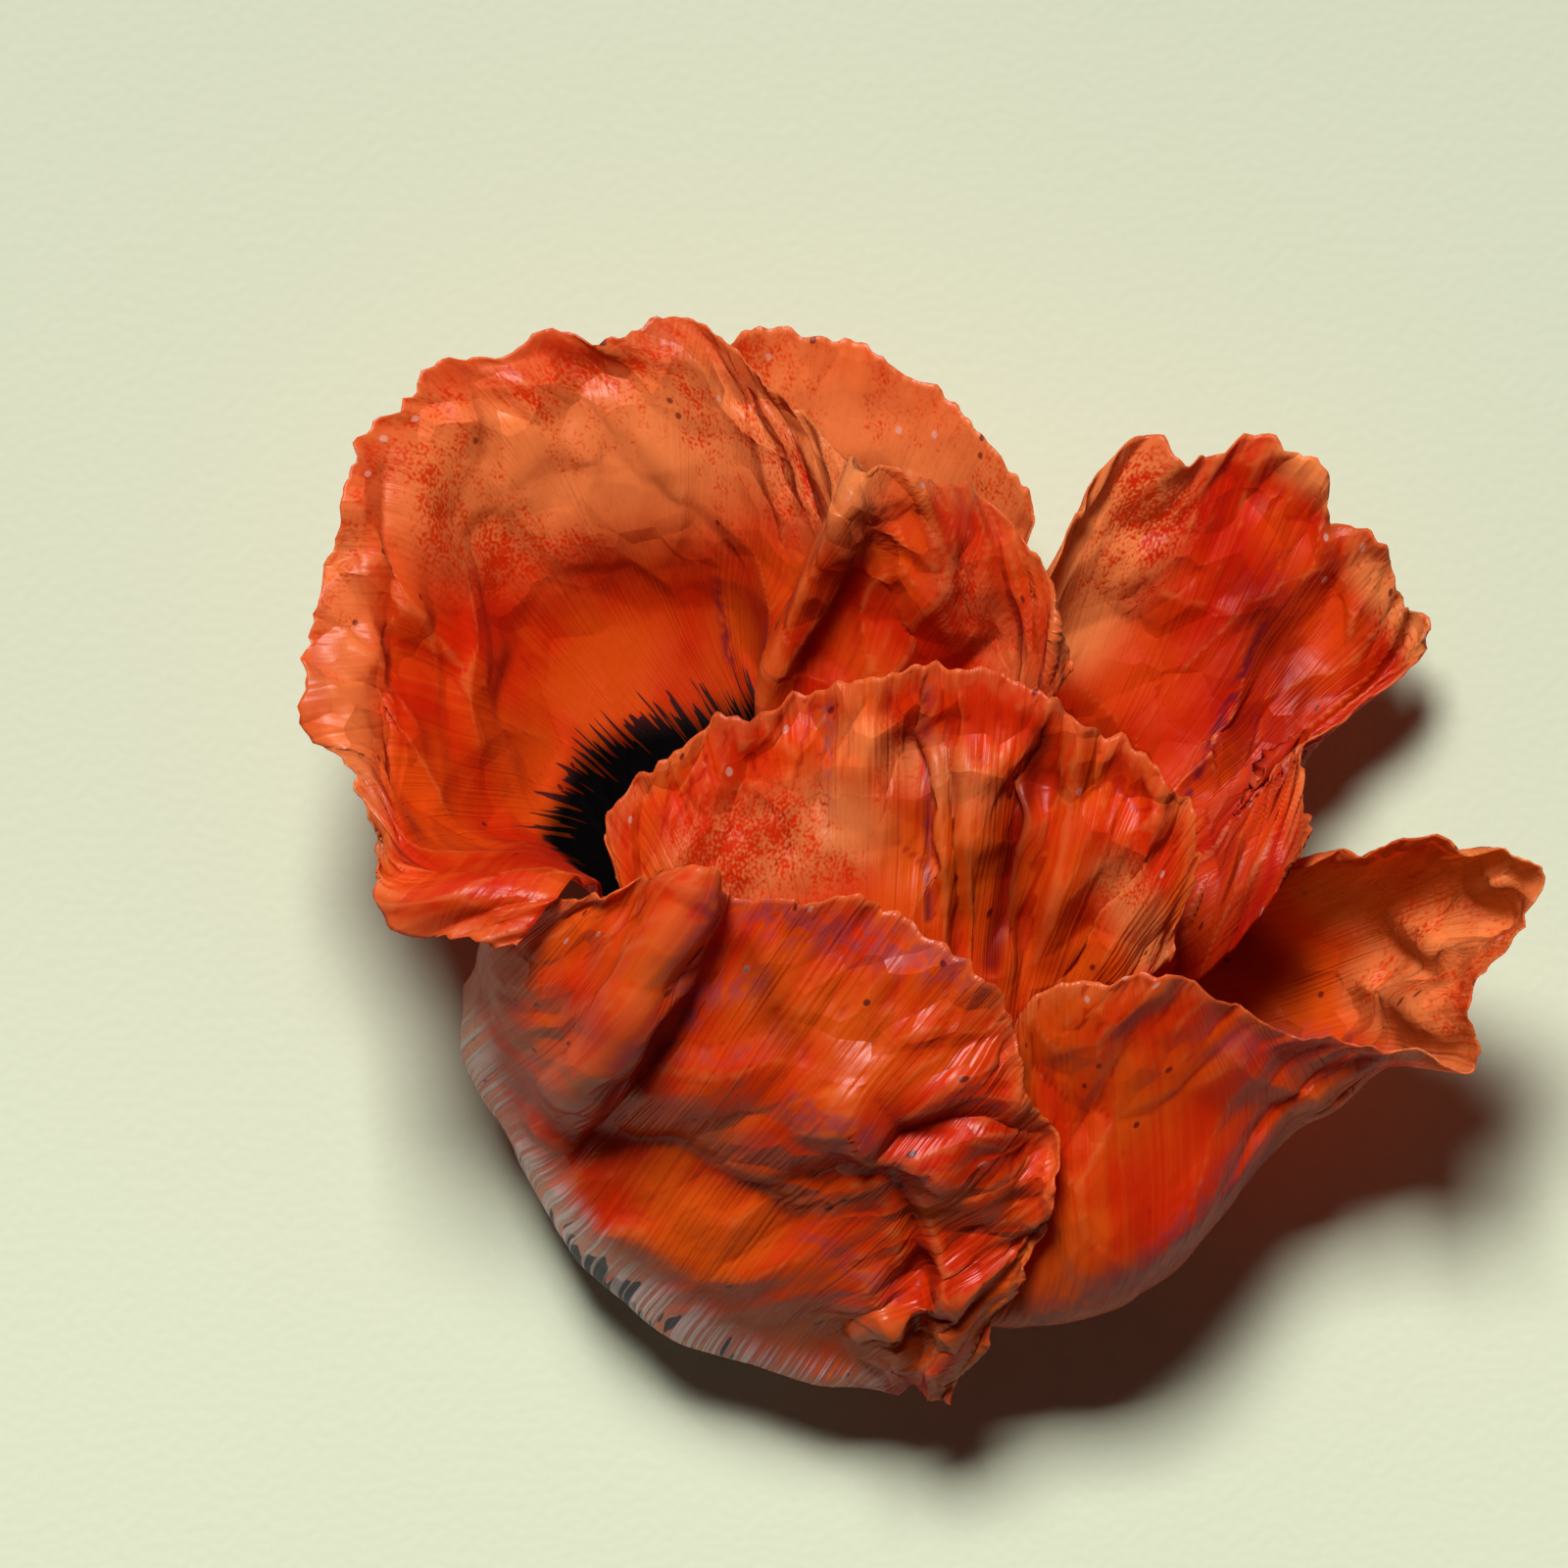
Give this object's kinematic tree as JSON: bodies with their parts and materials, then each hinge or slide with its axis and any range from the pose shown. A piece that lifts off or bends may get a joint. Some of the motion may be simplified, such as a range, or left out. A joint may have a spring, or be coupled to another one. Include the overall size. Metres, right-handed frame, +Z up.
{
  "type": "poppy flower",
  "caption": "Picked poppy bloom lying on its back, with broad crumpled orange-red petals in two layers round a dark ring of stamens and a seed case.",
  "frame": {"origin": "middle of the bounding box, on the ground that the bloom rests on", "axes": "+Z up out of the ground, +Y from the front petals to the back petals, +X to the right seen from the front"},
  "size_m": [0.1008, 0.089, 0.0434],
  "materials": {
    "petal": "thin crepe-like orange-red petal, satin, nearly black at its foot",
    "receptacle": "matt green stem tissue",
    "ovary": "matt grey-green with a dark velvety cap",
    "stamens": "dusty purple-black"
  },
  "bodies": {
    "root": {"petal_back": "petal", "petal_back_left": "petal", "petal_right": "petal", "petal_front_right": "petal", "petal_front_left": "petal", "petal_folded_over": "petal", "receptacle": "receptacle", "ovary": "ovary", "stamens": "stamens"}
  },
  "joints": []
}
